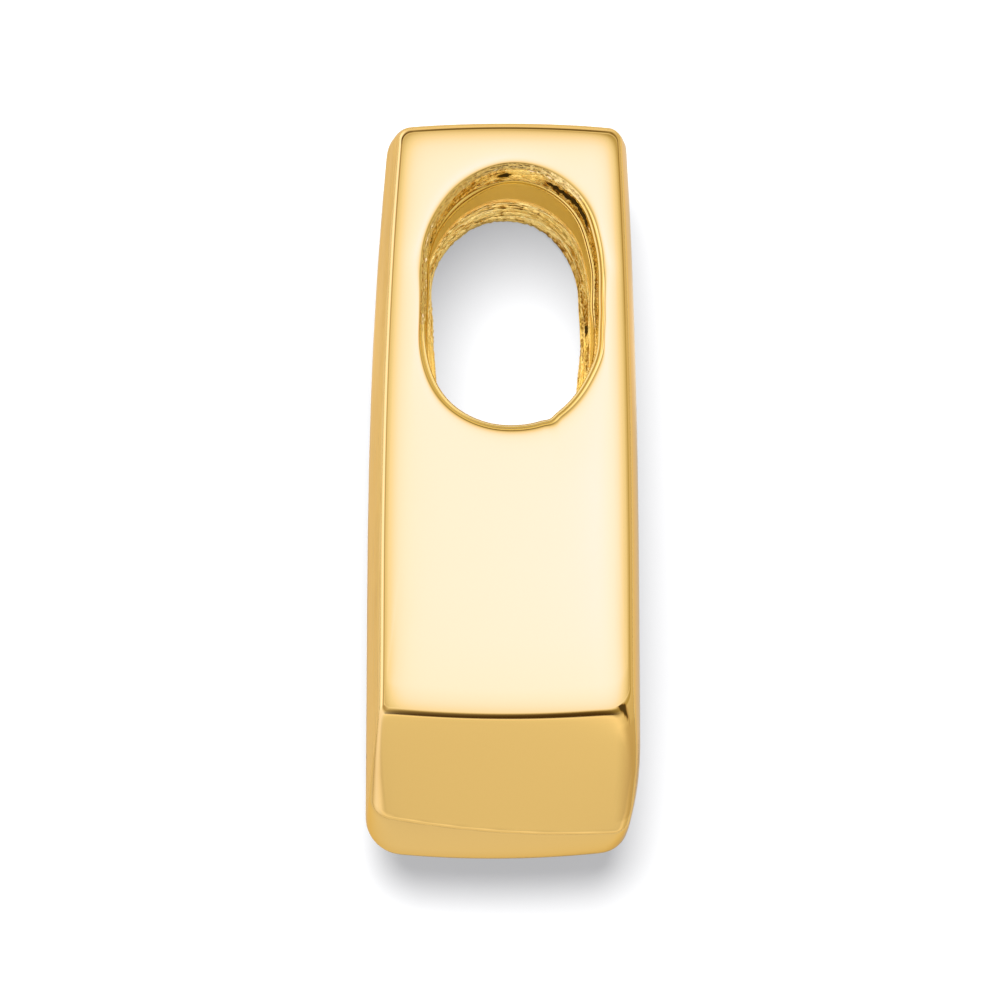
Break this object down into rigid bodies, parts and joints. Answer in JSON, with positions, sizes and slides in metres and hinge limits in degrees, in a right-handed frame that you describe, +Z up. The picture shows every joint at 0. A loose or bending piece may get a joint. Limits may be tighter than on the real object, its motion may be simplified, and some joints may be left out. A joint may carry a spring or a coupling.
{
  "type": "slide pendant",
  "caption": "Hollow gold slide pendant: a tapered bar with a domed satin front, flat polished side panels, a bevelled lower end and a wide round-ended chain passage through both panels.",
  "frame": {"origin": "middle of the footprint, on the surface that the pendant lies on", "axes": "+Y towards the top of the pendant as worn, +X from its front to its back, +Z up through the chain passage, across its width"},
  "size_m": [0.0074, 0.0202, 0.0055],
  "materials": {
    "yellow_gold": "polished panels and back, satin front, rough cut edges inside the passage"
  },
  "bodies": {
    "root": {"slide_body": "yellow_gold"}
  },
  "joints": []
}
